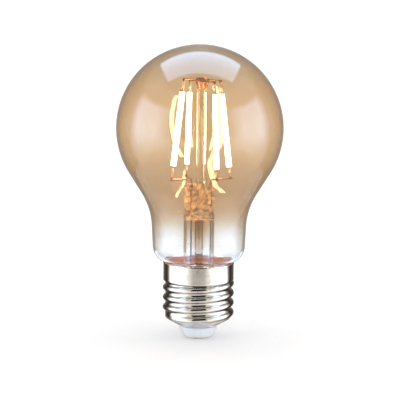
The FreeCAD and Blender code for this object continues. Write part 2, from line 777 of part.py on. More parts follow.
def lead_solder():
    """Solder on the pads where the stem's leads and the two supply wires meet the board."""
    joints = (("right", LEAD_RIGHT, BOARD_TOP + " - 1.1"),
              ("left", LEAD_LEFT, BOARD_TOP + " - 1.1"),
              ("contact", "0", BOARD_FOOT + " + 1.3"),
              ("shell", "-(%s - 1.2)" % BOARD_HALF, BOARD_TOP + " - 1.6"))
    drops = []
    for name, across, level in joints:
        blank = rod("solder_blank_" + name, "2.4 * lead_radius",
                    (across, "-1.5 * lead_radius", level), (across, BOARD_FRONT, level))
        hole = rod("solder_hole_" + name, "lead_radius",
                   (across, "0", level + " - 3 * lead_radius"),
                   (across, "0", level + " + 3 * lead_radius"))
        drops.append(cut("solder_drop_" + name, blank, [hole]))
    together("lead_solder", drops)
    return ["lead_solder"]


def radio_parts():
    """Shield can over the radio chip, header to the driver board and a bent-wire antenna."""
    foot = PARTS_FOOT + " + 1.6"
    front = RADIO_FRONT
    outer = box("can_outer", ("can_width", "can_depth", "can_height"),
                ("-can_width / 2", front + " - can_depth", foot))
    inner = box("can_inner", ("can_width - 2 * can_wall", "can_depth", "can_height - 2 * can_wall"),
                ("-can_width / 2 + can_wall", front + " - can_depth + can_wall",
                 foot + " + can_wall"))
    cut("radio_shield", outer, [inner])
    box("radio_chip", ("4", "0.8", "4"), ("-2", front + " - 0.8", foot + " + 1.2"))
    block_depth = "(radio_gap / 2)"
    level = PARTS_FOOT + " + 0.8"
    block = box("header_blank", ("10", block_depth, "2"), ("-5", RADIO_BACK, level))
    pins = []
    holes = []
    for step in range(4):
        across = str(-3.4 + 2.0 * step + (0.8 if step > 1 else 0.0))
        size = ("0.5", "radio_gap", "0.5")
        pins.append(box("header_pin_%d" % step, size, (across, RADIO_BACK, level + " + 0.75")))
        holes.append(box("header_hole_%d" % step, size, (across, RADIO_BACK, level + " + 0.75")))
    together("header_pins", pins)
    cut("header_block", block, holes)
    top = PARTS_FOOT + " + radio_height"
    middle = "(%s + %s) / 2" % (RADIO_FRONT, RADIO_BACK)
    bent_wire("radio_antenna", "0.3", "0.6", [[
        ("-4.5", middle, top), ("-4.5", middle, top + " + 2.2"),
        ("4.5", middle, top + " + 2.2"), ("4.5", middle, top + " + 0.8")]])
    return ["radio_shield", "radio_chip", "header_pins", "header_block", "radio_antenna"]


def chip_case(label, across, up, wide, tall, legs):
    """A flat chip on the front of the driver board with rows of legs at its sides."""
    deep = "1.4"
    lift = "0.15"
    low = BOARD_FRONT + " - %s - %s" % (deep, lift)
    box(label, (str(wide), deep, str(tall)), (across + " - %s / 2" % wide, low, up))
    feet = []
    for side in (-1, 1):
        for step in range(legs):
            start = across + " + %s * %s / 2" % (side, wide)
            if side < 0:
                start += " - 0.8"
            rise = "%s + %s * (%d + 0.5) / %d - 0.2" % (up, tall, step, legs)
            name = "%s_leg_%d_%d" % (label, side + 1, step)
            feet.append(box(name, ("0.8", "0.9", "0.4"), (start, BOARD_FRONT + " - 0.9", rise)))
    together(label + "_legs", feet)
    return [label, label + "_legs"]


def power_parts():
    """Parts of the supply: reservoir capacitor, choke, film capacitor, fusible resistor, bridge
    rectifier, control chip and small chip parts."""
    foot = PARTS_FOOT
    back = BOARD_BACK
    centre = (" -(capacitor_radius + 1.45)", back + " + capacitor_radius + 0.3")
    can_foot = foot + " + 0.6"
    can = rod("capacitor_blank", "capacitor_radius",
              centre + (can_foot,), centre + (can_foot + " + capacitor_length",))
    soft = doc.addObject("Part::Fillet", "reservoir_capacitor")
    soft.Label = "reservoir_capacitor"
    soft.Base = can
    doc.recompute()
    soft.Edges = [(index + 1, 0.5, 0.5) for index, edge in enumerate(can.Shape.Edges)
                  if edge.Closed and edge.BoundBox.ZLength < 1e-3]
    bent_wire("capacitor_leads", "0.25", "0.5", [
        [(centre[0] + " + %s" % side, centre[1], can_foot),
         (centre[0] + " + %s" % side, centre[1], foot + " - 0.1"),
         (centre[0] + " + %s" % side, back, foot + " - 0.1")] for side in ("1.25", "(-1.25)")])

    axis = ("(choke_radius + 1.5)", foot + " + choke_radius + 0.2")
    flange = "0.8"
    start = (axis[0], back, axis[1])
    mid_a = (axis[0], back + " + " + flange, axis[1])
    mid_b = (axis[0], back + " + choke_length - " + flange, axis[1])
    finish = (axis[0], back + " + choke_length", axis[1])
    pieces = [rod("choke_low", "choke_radius", start, mid_a),
              rod("choke_waist", "0.5 * choke_radius", mid_a, mid_b),
              rod("choke_high", "choke_radius", mid_b, finish)]
    core = doc.addObject("Part::MultiFuse", "choke_core")
    core.Label = "choke_core"
    core.Shapes = pieces
    coil = rod("coil_blank", "0.88 * choke_radius", mid_a, mid_b)
    bore = rod("coil_bore", "0.5 * choke_radius", mid_a, mid_b)
    cut("choke_winding", coil, [bore])

    box("film_capacitor", ("6.4", "3.4", "3.6"),
        ("1.5", back, foot + " + 2 * choke_radius + 0.6"))
    spine = (" 0", back + " + 1.6")
    rod("fusible_resistor", "1.1", spine + (foot + " + 1.6",), spine + (foot + " + 7.4",))
    bent_wire("resistor_leads", "0.25", "0.5", [
        [spine + (foot + " + 1.6",), spine + (foot + " + 0.6",),
         (spine[0], back, foot + " + 0.6")],
        [spine + (foot + " + 7.4",), spine + (foot + " + 8.4",),
         (spine[0], back, foot + " + 8.4")]])
    labels = ["reservoir_capacitor", "capacitor_leads", "choke_core", "choke_winding",
              "film_capacitor", "fusible_resistor", "resistor_leads"]
    labels += chip_case("bridge_rectifier", "-7.2", foot + " + 3.4", "2.8", "4.4", 2)
    labels += chip_case("control_chip", "6.9", foot + " + 2.2", "3.6", "4.8", 4)
    small = []
    for step, (across, up) in enumerate(((-4.1, 4.0), (-4.1, 6.0), (3.6, 8.0), (6.2, 8.4),
                                         (8.6, 8.2), (1.2, 5.4), (-1.6, 5.4), (-1.6, 7.4))):
        small.append(box("small_%d" % step, ("1.6", "0.55", "0.8"),
                         ("%s - 0.8" % across, BOARD_FRONT + " - 0.55",
                          foot + " + %s" % up)))
    together("small_chip_parts", small)
    return labels + ["small_chip_parts"]


# ---------------------------------------------------------------- build, check, write

def build():
    labels = [glass_envelope().Label, stem_flare().Label, exhaust_tube().Label]
    labels += pillar()
    labels += lead_set("left", LEAD_LEFT) + lead_set("right", LEAD_RIGHT)
    labels += [lower_wire("lower_wire_left", LEAD_LEFT, 3, 2).Label,
               lower_wire("lower_wire_right", LEAD_RIGHT, 1, 4).Label]
    for index in range(1, 5):
        labels += filament(index)
    labels += filament_welds()
    labels += [screw_shell().Label, base_cement().Label, insulator().Label]
    labels += [centre_contact().Label, driver_sleeve().Label]
    labels += supply_wires() + boards() + lead_solder() + radio_parts() + power_parts()
    return labels


def main():
    labels = build()
    doc.recompute()
    faults = []
    for item in doc.Objects:
        if "Invalid" in item.State or "Error" in item.State:
            faults.append("%s %s" % (item.Label, item.State))
    nodes = {}
    for label in labels:
        item = doc.getObjectsByLabel(label)[0]
        if item.Shape.isNull() or not item.Shape.isValid() or not item.Shape.Solids:
            faults.append(label + " has no valid solid")
        nodes[label] = item
    if faults:
        raise RuntimeError("; ".join(faults))
    os.makedirs("parts", exist_ok=True)
    for label, item in nodes.items():
        item.Shape.exportStep("parts/%s.step" % label)
    print(len(nodes), "nodes")


main()
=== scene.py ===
import bpy
import json
import math
from mathutils import Matrix, Vector


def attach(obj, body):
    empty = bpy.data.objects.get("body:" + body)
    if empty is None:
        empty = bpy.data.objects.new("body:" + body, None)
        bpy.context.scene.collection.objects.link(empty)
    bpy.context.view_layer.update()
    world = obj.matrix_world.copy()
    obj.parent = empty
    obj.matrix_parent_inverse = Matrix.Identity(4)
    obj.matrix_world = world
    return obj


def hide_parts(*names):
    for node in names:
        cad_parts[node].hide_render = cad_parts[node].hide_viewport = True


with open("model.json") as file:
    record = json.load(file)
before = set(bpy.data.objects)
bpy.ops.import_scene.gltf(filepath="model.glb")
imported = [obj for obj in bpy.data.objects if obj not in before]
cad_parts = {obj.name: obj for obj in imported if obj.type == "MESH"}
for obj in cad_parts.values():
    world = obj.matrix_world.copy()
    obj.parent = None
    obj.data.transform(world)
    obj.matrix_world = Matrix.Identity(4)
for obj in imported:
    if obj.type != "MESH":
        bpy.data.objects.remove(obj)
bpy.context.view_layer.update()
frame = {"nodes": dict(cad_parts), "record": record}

MM = 0.001

# ------------------------------------------------------------------ sizes of the lamp, millimetres

HEAD_RADIUS = 30.5
HEAD_CENTRE = 77.2
FLANK_ANGLE = math.radians(32.0)
FLANK_LENGTH = 9.0
NECK_SWEEP = 25.0
NECK_TAPER = math.radians(3.0)
SHOULDER_Z = 33.7
SHOULDER_RADIUS = 6.3
GLASS_WALL = 0.8
SEAL_RADIUS = 11.9
SEAL_Z = 23.5
SEAL_STEP = 0.45           # how far out from the straight foot the shoulder's curve begins
SEAL_GAP = 0.03            # between the foot of the bulb and the trumpet inside it

FLARE_RADIUS = 5.6
FLARE_WALL = 0.9
FLARE_FOOT = 24.0          # lower edge of the trumpet
FLARE_SEAL = 0.4           # fused band above that edge
FLARE_RISE = 5.0           # height of the trumpet's curve
PRESS_FOOT = 44.6          # where the tube starts to be pinched
PRESS_RISE = 11.0          # height over which its sides are modelled
PRESS_PINCH = 3.7          # how much each side is pushed in
PRESS_BLEND = 0.42         # share of the rise in which it narrows
PRESS_TOP = 57.2
PRESS_RINGS = 34           # rings of points up the press, for its lumps
LUMP_SIZE = 1.9
LUMP_DEPTH = 2.6
LUMP_LEVEL = 0.62          # above a half, so the lumps sink the surface by 0.3 mm on average
MOUNT_X = 0.7              # how far the pillar stands to the right of the lamp's axis

STRIP_OVERLAP = 1.6        # bare strip past each end of a filament's coating
COATING_RINGS = 32
COATING_NOSE = 0.7         # length of the rounded ends
COATING_FLAT = 0.85        # its depth against its width
COATING_TURN = 25.0        # degrees the first one is turned; each next one a quarter turn more

THREAD_CREST = 13.1
THREAD_ROOT = 12.15
THREAD_PITCH = 3.629
THREAD_FIRST = 9.35        # height of the lowest crest on the +X side
THREAD_START = -0.42       # ends of the ridge, in turns from that point
THREAD_END = 3.17
THREAD_FADE = 0.16         # turns over which each end of the ridge sinks away
SHELL_WALL = 0.35
BARREL_FOOT = 7.8
BARREL_TOP = 20.6
RING_STEP = 0.16           # height between rings of points on the barrel

# ------------------------------------------------------------------ table top, camera and room

FLOOR_RADIUS = 125.0       # millimetres, as are the floor's depth and the sensor
FLOOR_DROP = 0.05
SENSOR = 36.0
CAMERA_PLACE = Vector((0.0, -0.683, 0.146))     # metres, as is the target
CAMERA_TARGET = Vector((0.0003, 0.0, 0.0508))
CAMERA_ROLL = math.radians(0.55)
VIEW_SIZE = 0.1464         # metres seen across the view at the lamp

ROOM_WHITE = (1.15, 1.15, 1.15, 1)
SEEN_WHITE = (1.0, 1.0, 1.0, 1)         # the room where it is seen through glass
CEILING = (0.55, 0.55, 0.55, 1)
LIGHT_BOX = (2.3, 3.1, 4.5, 1)          # a bright, bluish white


# ------------------------------------------------------------------ small helpers

def linear(code):
    """Linear colour from an sRGB hex value."""
    parts = [int(code[i:i + 2], 16) / 255 for i in (1, 3, 5)]
    return tuple(p / 12.92 if p <= 0.04045 else ((p + 0.055) / 1.055) ** 2.4
                 for p in parts) + (1.0,)


def add(tree, kind, inputs=None, stops=None, **settings):
    """One node with its settings, its ramp stops if it has a ramp, and its values or links."""
    item = tree.nodes.new(kind)
    for name, value in settings.items():
        setattr(item, name, value)
    if stops:
        ramp = item.color_ramp
        while len(ramp.elements) < len(stops):
            ramp.elements.new(0.5)
        for element, (place, colour) in zip(ramp.elements, stops):
            element.position = place
            element.color = colour
    for name, value in (inputs or {}).items():
        socket = item.inputs[name]
        if isinstance(value, bpy.types.NodeSocket):
            tree.links.new(value, socket)
        else:
            socket.default_value = value
    return item


def new_material(name):
    """An empty material and its tree."""
    material = bpy.data.materials.new(name)
    material.use_nodes = True
    material.node_tree.nodes.clear()
    return material, material.node_tree


def grained(name, tones, rough, metallic, grain, relief, stretch=(1, 1, 1), **values):
    """A surface whose colour, gloss and height vary with one grain; its size and its relief are in
    millimetres, and a small stretch draws the grain out along that axis."""
    material, tree = new_material(name)
    place = add(tree, "ShaderNodeTexCoord").outputs["Object"]
    scaled = add(tree, "ShaderNodeMapping", {"Vector": place, "Scale": stretch}).outputs["Vector"]
    fine = add(tree, "ShaderNodeTexNoise", {"Vector": scaled, "Scale": 1000.0 / grain,
                                            "Detail": 4.0, "Roughness": 0.6}).outputs["Fac"]
    broad = add(tree, "ShaderNodeTexNoise", {"Vector": place, "Scale": 1000.0 / (9 * grain),
                                             "Detail": 2.0}).outputs["Fac"]
    both = add(tree, "ShaderNodeMath", {0: fine, 1: broad}, operation="ADD").outputs["Value"]
    spread = add(tree, "ShaderNodeMapRange", {"Value": both, "From Min": 0.7,
                                              "From Max": 1.3}).outputs["Result"]
    stops = [(i / (len(tones) - 1), linear(tone)) for i, tone in enumerate(tones)]
    colour = add(tree, "ShaderNodeValToRGB", {"Fac": spread}, stops=stops).outputs["Color"]
    gloss = add(tree, "ShaderNodeMapRange", {"Value": spread, "To Min": rough[0],
                                             "To Max": rough[1]}).outputs["Result"]
    bump = add(tree, "ShaderNodeBump", {"Height": fine, "Strength": 0.6,
                                        "Distance": relief * MM}).outputs["Normal"]
    shader = add(tree, "ShaderNodeBsdfPrincipled", dict(
        {"Base Color": colour, "Roughness": gloss, "Metallic": metallic, "Normal": bump}, **values))
    add(tree, "ShaderNodeOutputMaterial", {"Surface": shader.outputs["BSDF"]})
    return material


# ------------------------------------------------------------------ modelling helpers

def start_piece():
    """Leaves nothing selected, so that only the next primitive is shaped."""
    if bpy.context.object and bpy.context.object.mode != "OBJECT":
        bpy.ops.object.mode_set(mode="OBJECT")
    bpy.ops.object.select_all(action="DESELECT")


def finish_piece(name, finishes, nodes, slot, angle):
    """Names the active piece, smooths it, gives it the finish of its slot and ties it to the lamp."""
    piece = bpy.context.object
    bpy.ops.object.mode_set(mode="OBJECT")
    bpy.ops.object.transform_apply(location=True, rotation=True, scale=True)
    bpy.ops.object.shade_smooth_by_angle(angle=math.radians(angle))
    piece.name = name
    piece.data.name = name
    piece.data.materials.clear()
    piece.data.materials.append(finishes[slot])
    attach(piece, "root")
    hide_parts(*nodes)


def apply_all(piece):
    for modifier in list(piece.modifiers):
        bpy.ops.object.modifier_apply(modifier=modifier.name)


def turn_up(outline, steps=96, closed=True):
    """Turns a piece on the lamp's axis: a ring is drawn out and resized along an outline whose
    points are (radius, height) or (half width, half depth, height)."""
    start_piece()
    rings = [(p[0], p[0], p[1]) if len(p) == 2 else p for p in outline]
    across, deep, height = rings[0]
    bpy.ops.mesh.primitive_circle_add(vertices=steps, radius=across * MM,
                                      fill_type="NGON" if closed else "NOTHING",
                                      location=(0, 0, height * MM))
    bpy.ops.object.mode_set(mode="EDIT")
    bpy.ops.mesh.select_mode(type="FACE" if closed else "VERT")
    bpy.ops.mesh.select_all(action="SELECT")
    bpy.ops.transform.resize(value=(1, deep / across, 1), center_override=(0, 0, height * MM))
    if closed:
        bpy.ops.mesh.duplicate()
    for before, after in zip(rings, rings[1:]):
        step = (after[2] - before[2]) * MM
        bpy.ops.mesh.extrude_region_move(TRANSFORM_OT_translate={"value": (0, 0, step)})
        bpy.ops.transform.resize(value=(after[0] / before[0], after[1] / before[1], 1),
                                 center_override=(0, 0, after[2] * MM))
    if closed:
        bpy.ops.mesh.select_all(action="SELECT")
        bpy.ops.mesh.remove_doubles(threshold=0.0005 * MM)
    bpy.ops.mesh.select_all(action="SELECT")
    bpy.ops.mesh.normals_make_consistent(inside=False)
    bpy.ops.object.mode_set(mode="OBJECT")
    bpy.ops.object.transform_apply(location=True, rotation=True, scale=True)
    return bpy.context.object


def join_ends():
    """Welds the first and last ring of a piece whose outline ends where it starts."""
    bpy.ops.object.mode_set(mode="EDIT")
    bpy.ops.mesh.select_all(action="SELECT")
    bpy.ops.mesh.remove_doubles(threshold=0.001 * MM)
    bpy.ops.mesh.normals_make_consistent(inside=False)


def arc(centre, radius, start, end, count):
    """Points of an arc in the outline's plane, angles in degrees from the outward direction."""
    points = []
    for index in range(count + 1):
        angle = math.radians(start + (end - start) * index / count)
        points.append((centre[0] + radius * math.cos(angle), centre[1] + radius * math.sin(angle)))
    return points


# ------------------------------------------------------------------ materials

def amber_glass():
    """Blown soda-lime glass with a thin amber film: sharp reflections of the room, a warm tint that
    is deepest above the neck, paler at the crown and gone above the cap, faint ripple from blowing.
    The tint drifts over about 22 mm, the ripple over about 17 mm."""
    material, tree = new_material("blown soda-lime glass, amber film")
    place = add(tree, "ShaderNodeTexCoord").outputs["Object"]
    height = add(tree, "ShaderNodeSeparateXYZ", {"Vector": place}).outputs["Z"]
    drift = add(tree, "ShaderNodeTexNoise", {"Vector": place, "Scale": 45.0}).outputs["Fac"]
    uneven = add(tree, "ShaderNodeMath", {0: drift, 1: 0.006, 2: height},
                 operation="MULTIPLY_ADD").outputs["Value"]
    # the drift lifts every height by 3 mm on average, so the ramp starts 3 mm higher too
    level = add(tree, "ShaderNodeMapRange", {"Value": uneven, "From Min": 0.033,
                                             "From Max": 0.111}).outputs["Result"]
    tints = ((30, "#FDFEFF"), (35, "#F8F8F7"), (40, "#E9E3DA"), (44, "#E3D4C0"),
             (49, "#DBC4A8"), (56, "#D8C09E"), (66, "#E6D1B4"), (77, "#EDD8BC"),
             (92, "#E9D3B6"), (99, "#E0D0BA"), (106, "#DBD0C2"))
    tint = add(tree, "ShaderNodeValToRGB", {"Fac": level}, stops=[
        ((z - 30) / 78, linear(code)) for z, code in tints]).outputs["Color"]
    ripple = add(tree, "ShaderNodeTexNoise", {"Vector": place, "Scale": 60.0,
                                              "Detail": 1.0}).outputs["Fac"]
    bump = add(tree, "ShaderNodeBump", {"Height": ripple, "Strength": 0.25,
                                        "Distance": 0.1 * MM}).outputs["Normal"]
    shader = add(tree, "ShaderNodeBsdfPrincipled", {
        "Base Color": tint, "Roughness": 0.0, "IOR": 1.5, "Transmission Weight": 1.0,
        "Normal": bump})
    add(tree, "ShaderNodeOutputMaterial", {"Surface": shader.outputs["BSDF"]})
    return material


def stem_glass():
    """Drawn lead glass of the stem: clear at the foot, ambered towards the press, which is lumpy,
    with thin dark brown lines of painted shade along the edges of its lumps and patches of painted
    glow that stand in for the light of the filaments; the pillar above is clear again."""
    material, tree = new_material("drawn stem glass, pinched, painted glow and shade")
    place = add(tree, "ShaderNodeTexCoord").outputs["Object"]
    height = add(tree, "ShaderNodeSeparateXYZ", {"Vector": place}).outputs["Z"]
    level = add(tree, "ShaderNodeMapRange", {"Value": height, "From Min": 0.030,
                                             "From Max": 0.060}).outputs["Result"]
    lumps = add(tree, "ShaderNodeTexNoise", {"Vector": place, "Scale": 520.0,
                                             "Detail": 2.0}).outputs["Fac"]
    tints = ((30, "#FCFBFA"), (36, "#F6EEE4"), (42, "#EEDCC2"), (46, "#F0D6AC"), (50, "#F4D9AC"),
             (56, "#F6DDB6"), (57.5, "#F7EEE2"), (60, "#FAF4EC"))
    clean = add(tree, "ShaderNodeValToRGB", {"Fac": level}, stops=[
        ((z - 30) / 30, linear(code)) for z, code in tints]).outputs["Color"]
    low = add(tree, "ShaderNodeMapRange", {"Value": height, "From Min": 0.0445,
                                           "From Max": 0.0470}).outputs["Result"]
    high = add(tree, "ShaderNodeMapRange", {"Value": height, "From Min": 0.0574,
                                            "From Max": 0.0570}).outputs["Result"]
    pressed = add(tree, "ShaderNodeMath", {0: low, 1: high}, operation="MULTIPLY").outputs["Value"]
    # painted shade: dark brown lines along the slopes between the press's lumps, standing in for the
    # dark edges that the lumpy glass shows
    lump_outline_shade = add(tree, "ShaderNodeValToRGB", {"Fac": lumps}, stops=[
        (0.40, (0, 0, 0, 1)), (0.44, (1, 1, 1, 1)), (0.47, (0, 0, 0, 1)),
        (0.54, (0, 0, 0, 1)), (0.57, (1, 1, 1, 1)), (0.61, (0, 0, 0, 1))]).outputs["Color"]
    stained = add(tree, "ShaderNodeMath", {0: lump_outline_shade, 1: pressed},
                  operation="MULTIPLY").outputs["Value"]
    tint = add(tree, "ShaderNodeMix", {"Factor": stained, "A": clean, "B": linear("#5E2E12")},
               data_type="RGBA").outputs[2]
    bump = add(tree, "ShaderNodeBump", {"Height": lumps, "Strength": pressed,
                                        "Distance": 2.4 * MM}).outputs["Normal"]
    # painted glow: the press's lumps give off a little warm light of their own, standing in for the
    # filaments' light caught in them
    painted_glow_patches = add(tree, "ShaderNodeMapRange", {"Value": lumps, "From Min": 0.46, "From Max": 0.58,
                                              "To Min": 0.0, "To Max": 0.44}).outputs["Result"]
    glow = add(tree, "ShaderNodeMath", {0: painted_glow_patches, 1: pressed},
               operation="MULTIPLY").outputs["Value"]
    shader = add(tree, "ShaderNodeBsdfPrincipled", {
        "Base Color": tint, "Roughness": 0.0, "IOR": 1.56, "Transmission Weight": 1.0,
        "Emission Color": linear("#FFD08C"), "Emission Strength": glow, "Normal": bump})
    add(tree, "ShaderNodeOutputMaterial", {"Surface": shader.outputs["BSDF"]})
    return material


def bead_glass():
    """Glass bead stained copper-orange around the wires sealed in it, in patches of about 2 mm."""
    material, tree = new_material("fused bead glass, copper stained")
    place = add(tree, "ShaderNodeTexCoord").outputs["Object"]
    lumps = add(tree, "ShaderNodeTexNoise", {"Vector": place, "Scale": 500.0,
                                             "Detail": 3.0}).outputs["Fac"]
    tint = add(tree, "ShaderNodeValToRGB", {"Fac": lumps}, stops=[
        (0.35, linear("#B06C38")), (0.65, linear("#ECC090"))]).outputs["Color"]
    bump = add(tree, "ShaderNodeBump", {"Height": lumps, "Strength": 0.7,
                                        "Distance": 0.3 * MM}).outputs["Normal"]
    shader = add(tree, "ShaderNodeBsdfPrincipled", {
        "Base Color": tint, "Roughness": 0.08, "IOR": 1.54, "Transmission Weight": 0.7,
        "Normal": bump})
    add(tree, "ShaderNodeOutputMaterial", {"Surface": shader.outputs["BSDF"]})
    return material


def nickel_plate():
    """Rolled brass sheet, nickel plated: bright, slightly warm, with fine upright polishing lines
    that blur its reflections and duller spots of about 2 mm; above the cone a painted dark
    reflection blackens its edges where it curves away."""
    material, tree = new_material("rolled brass sheet, nickel plated, painted dark edges")
    place = add(tree, "ShaderNodeTexCoord").outputs["Object"]
    upright = add(tree, "ShaderNodeMapping", {"Vector": place, "Scale": (1.0, 1.0, 0.06)})
    lines = add(tree, "ShaderNodeTexNoise", {"Vector": upright.outputs["Vector"], "Scale": 2600.0,
                                             "Detail": 3.0, "Roughness": 0.7}).outputs["Fac"]
    spots = add(tree, "ShaderNodeTexNoise", {"Vector": place, "Scale": 420.0,
                                             "Detail": 5.0}).outputs["Fac"]
    colour = add(tree, "ShaderNodeValToRGB", {"Fac": spots}, stops=[
        (0.30, linear("#C9C0B4")), (0.50, linear("#DCD5CA")),
        (0.75, linear("#E6E0D8"))]).outputs["Color"]
    gloss = add(tree, "ShaderNodeMapRange", {"Value": spots, "From Min": 0.3, "From Max": 0.75,
                                             "To Min": 0.012, "To Max": 0.04}).outputs["Result"]
    bump = add(tree, "ShaderNodeBump", {"Height": lines, "Strength": 0.25,
                                        "Distance": 0.012 * MM}).outputs["Normal"]
    # painted reflection: above the cone, where the sheet turns away from view, its colour goes near
    # black, standing in for the dark room that it mirrors there
    facing = add(tree, "ShaderNodeLayerWeight", {"Blend": 0.5}).outputs["Facing"]
    turned = add(tree, "ShaderNodeMapRange", {"Value": facing, "From Min": 0.44,
                                              "From Max": 0.56}).outputs["Result"]
    height = add(tree, "ShaderNodeSeparateXYZ", {"Vector": place}).outputs["Z"]
    threaded = add(tree, "ShaderNodeMapRange", {"Value": height, "From Min": 0.0070,
                                                "From Max": 0.0084}).outputs["Result"]
    edge = add(tree, "ShaderNodeMath", {0: turned, 1: threaded},
               operation="MULTIPLY").outputs["Value"]
    colour_with_painted_reflection = add(tree, "ShaderNodeMix", {"Factor": edge, "A": colour, "B": linear("#14120F")},
                data_type="RGBA").outputs[2]
    shader = add(tree, "ShaderNodeBsdfPrincipled", {
        "Base Color": colour_with_painted_reflection, "Metallic": 1.0, "Roughness": gloss, "Normal": bump})
    add(tree, "ShaderNodeOutputMaterial", {"Surface": shader.outputs["BSDF"]})
    return material


def phosphor():
    """Silicone filled with yellow phosphor over a row of chips: glows warm white along its lit
    length and is yellow and dull at the two ends. Faint bands stand for the chips, 2.9 mm apart,
    twice as coarse as the real ones so that they show."""
    material, tree = new_material("phosphor filled silicone, lit")
    place = add(tree, "ShaderNodeTexCoord").outputs["Object"]
    along = add(tree, "ShaderNodeAttribute", attribute_name="from_end").outputs["Fac"]
    lit = add(tree, "ShaderNodeMapRange", {"Value": along, "From Min": 0.7,
                                           "From Max": 1.3}).outputs["Result"]
    dots = add(tree, "ShaderNodeTexWave", {"Vector": place, "Scale": 110.0},
               bands_direction="Z").outputs["Fac"]
    level = add(tree, "ShaderNodeMapRange", {"Value": dots, "To Min": 80.0,
                                             "To Max": 100.0}).outputs["Result"]
    glow = add(tree, "ShaderNodeMath", {0: lit, 1: level}, operation="MULTIPLY").outputs["Value"]
    speck = add(tree, "ShaderNodeTexNoise", {"Vector": place, "Scale": 2500.0}).outputs["Fac"]
    colour = add(tree, "ShaderNodeValToRGB", {"Fac": speck}, stops=[
        (0.35, linear("#D9A44A")), (0.65, linear("#EBC377"))]).outputs["Color"]
    bump = add(tree, "ShaderNodeBump", {"Height": speck, "Strength": 0.4,
                                        "Distance": 0.05 * MM}).outputs["Normal"]
    shader = add(tree, "ShaderNodeBsdfPrincipled", {
        "Base Color": colour, "Roughness": 0.45, "IOR": 1.43, "Subsurface Weight": 0.1,
        "Emission Color": linear("#FFF4E2"), "Emission Strength": glow, "Normal": bump})
    add(tree, "ShaderNodeOutputMaterial", {"Surface": shader.outputs["BSDF"]})
    return material


